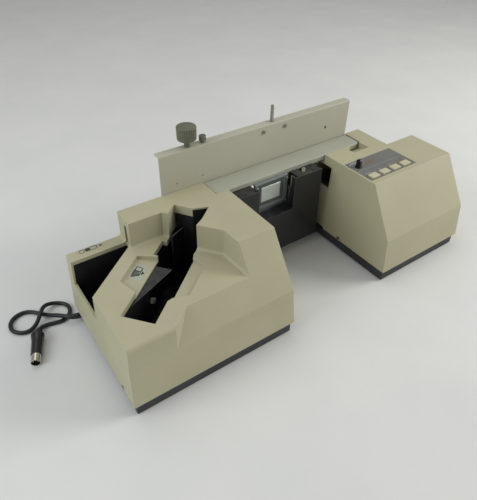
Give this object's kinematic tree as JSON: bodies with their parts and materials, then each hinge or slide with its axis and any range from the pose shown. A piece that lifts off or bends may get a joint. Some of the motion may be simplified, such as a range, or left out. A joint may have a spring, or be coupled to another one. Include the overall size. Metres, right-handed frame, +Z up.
{
  "type": "microform roll-film carrier",
  "caption": "Motor-driven roll-film carrier of a microform reader: cartridge housing, take-up housing with keys, film gate under a hinged cover, tall rear fence and a lead.",
  "frame": {"origin": "on the table, under the middle of the object without its lead", "axes": "+X from the cartridge housing to the take-up housing, +Y to the back, +Z up"},
  "size_m": [0.7166, 0.2563, 0.2533],
  "materials": {
    "beige_shell": "fine textured moulding",
    "tray_grey": "textured",
    "foot_rubber": "matt",
    "screw_steel": "bright",
    "liner_black": "matt black",
    "guide_black": "satin black",
    "gear_plastic": "natural",
    "bracket_steel": "plated",
    "motor_metal": "plated",
    "chassis_black": "satin black",
    "gate_grey": "brushed",
    "bezel_dark": "satin",
    "gate_glass": "clear",
    "roller_cream": "smooth",
    "fence_paint": "satin paint",
    "guide_block": "matt",
    "bush_brass": "turned",
    "knob_grey": "knurled",
    "thumb_metal": "knurled",
    "cover_paint": "satin paint",
    "panel_grey": "printed film",
    "window_brown": "smoked",
    "key_cream": "satin",
    "lever_black": "satin",
    "board_green": "lacquered",
    "switch_black": "matt",
    "takeup_steel": "turned",
    "reel_plastic": "moulded",
    "belt_rubber": "matt",
    "cord_rubber": "satin",
    "plug_black": "satin",
    "plug_metal": "plated"
  },
  "bodies": {
    "root": {"supply_housing": "beige_shell", "takeup_housing": "beige_shell", "supply_base_tray": "tray_grey", "takeup_base_tray": "tray_grey", "supply_feet": "foot_rubber", "takeup_feet": "foot_rubber", "supply_screws": "screw_steel", "takeup_screws": "screw_steel", "fence_screws": "screw_steel", "guide_screws": "screw_steel", "cover_hinge_pin": "screw_steel", "roller_pins": "screw_steel", "slot_liner": "liner_black", "bay_liner": "liner_black", "threading_shelf": "guide_black", "threading_guide": "guide_black", "spindle_bracket": "bracket_steel", "takeup_deck": "bracket_steel", "film_guides": "bracket_steel", "supply_motor": "motor_metal", "takeup_motor": "motor_metal", "bridge_chassis": "chassis_black", "gate_plate": "gate_grey", "back_glass": "gate_glass", "fence_plate": "fence_paint", "pin_guide": "guide_block", "flange_bushes": "bush_brass", "control_panel": "panel_grey", "counter_window": "window_brown", "control_board": "board_green", "board_switches": "switch_black", "frame_counter": "switch_black", "drive_belt": "belt_rubber", "cord": "cord_rubber", "cord_gland": "cord_rubber", "plug_body": "plug_black", "plug_insert": "plug_black", "plug_shell": "plug_metal", "plug_pins": "plug_metal"},
    "cover": {"gate_cover": "cover_paint"},
    "pressure_gate": {"pressure_frame": "gate_grey", "glass_bezel": "bezel_dark", "front_glass": "gate_glass"},
    "roller_1": {"film_roller_1": "roller_cream"},
    "roller_2": {"film_roller_2": "roller_cream"},
    "roller_3": {"film_roller_3": "roller_cream"},
    "roller_4": {"film_roller_4": "roller_cream"},
    "knob": {"adjusting_knob": "knob_grey"},
    "thumb": {"thumb_knob": "thumb_metal"},
    "pin": {"locating_pin": "screw_steel"},
    "button_1": {"push_button_1": "key_cream"},
    "button_2": {"push_button_2": "key_cream"},
    "button_3": {"push_button_3": "key_cream"},
    "button_4": {"push_button_4": "key_cream"},
    "lever": {"speed_lever": "lever_black"},
    "takeup": {"takeup_shaft": "takeup_steel", "takeup_reel": "reel_plastic"},
    "motor_drive": {"motor_pulley": "takeup_steel"},
    "supply_drive": {"supply_spindle": "gear_plastic"},
    "pinion_drive": {"supply_pinion": "gear_plastic"}
  },
  "joints": [
    {"name": "cover_hinge", "type": "hinge", "parent": "root", "child": "cover", "pos_m": [0.031, 0.08775, 0.1556], "axis": [-1, 0, 0], "range_deg": [0, 85]},
    {"name": "gate_slide", "type": "slide", "parent": "root", "child": "pressure_gate", "axis": [0, -1, 0], "range_m": [0, 0.002], "stiffness_N_per_m": 300, "springref_m": -0.003},
    {"name": "roller_1_spin", "type": "hinge", "parent": "root", "child": "roller_1", "pos_m": [-0.054, 0.04335, 0.11], "axis": [0, 0, 1], "continuous": true},
    {"name": "roller_2_spin", "type": "hinge", "parent": "root", "child": "roller_2", "pos_m": [-0.033, 0.04335, 0.11], "axis": [0, 0, 1], "continuous": true},
    {"name": "roller_3_spin", "type": "hinge", "parent": "root", "child": "roller_3", "pos_m": [0.0525, 0.04335, 0.11], "axis": [0, 0, 1], "continuous": true},
    {"name": "roller_4_spin", "type": "hinge", "parent": "root", "child": "roller_4", "pos_m": [0.0735, 0.04335, 0.11], "axis": [0, 0, 1], "continuous": true},
    {"name": "knob_turn", "type": "hinge", "parent": "root", "child": "knob", "pos_m": [-0.106, 0.09885, 0.24], "axis": [0, 0, 1], "continuous": true},
    {"name": "thumb_turn", "type": "hinge", "parent": "root", "child": "thumb", "pos_m": [-0.0803, 0.09885, 0.228], "axis": [0, 0, 1], "continuous": true},
    {"name": "pin_slide", "type": "slide", "parent": "root", "child": "pin", "axis": [0, 0, -1], "range_m": [0, 0.012], "stiffness_N_per_m": 150, "springref_m": -0.006},
    {"name": "button_1_press", "type": "slide", "parent": "root", "child": "button_1", "axis": [0, 0, -1], "range_m": [0, 0.0016], "stiffness_N_per_m": 400, "springref_m": -0.001},
    {"name": "button_2_press", "type": "slide", "parent": "root", "child": "button_2", "axis": [0, 0, -1], "range_m": [0, 0.0016], "stiffness_N_per_m": 400, "springref_m": -0.001},
    {"name": "button_3_press", "type": "slide", "parent": "root", "child": "button_3", "axis": [0, 0, -1], "range_m": [0, 0.0016], "stiffness_N_per_m": 400, "springref_m": -0.001},
    {"name": "button_4_press", "type": "slide", "parent": "root", "child": "button_4", "axis": [0, 0, -1], "range_m": [0, 0.0016], "stiffness_N_per_m": 400, "springref_m": -0.001},
    {"name": "lever_turn", "type": "hinge", "parent": "root", "child": "lever", "pos_m": [0.145, -0.00665, 0.165], "axis": [0, 0, 1], "range_deg": [-40, 40], "stiffness_Nm_per_rad": 0.02},
    {"name": "takeup_spin", "type": "hinge", "parent": "root", "child": "takeup", "pos_m": [0.193, -0.00165, 0.13], "axis": [0, 0, 1], "continuous": true},
    {"name": "motor_spin", "type": "hinge", "parent": "root", "child": "motor_drive", "pos_m": [0.273, -0.04865, 0.105], "axis": [0, 0, 1], "continuous": true},
    {"name": "spindle_spin", "type": "hinge", "parent": "root", "child": "supply_drive", "pos_m": [-0.23584, 0.00553, 0.066], "axis": [0.6428, -0.766, 0], "continuous": true},
    {"name": "pinion_spin", "type": "hinge", "parent": "root", "child": "pinion_drive", "pos_m": [-0.23584, 0.00553, 0.0397], "axis": [0.6428, -0.766, 0], "continuous": true}
  ],
  "couplings": [
    {"joint": "motor_spin", "follows": "takeup_spin", "ratio": 3.1429},
    {"joint": "pinion_spin", "follows": "spindle_spin", "ratio": -3.3333}
  ]
}
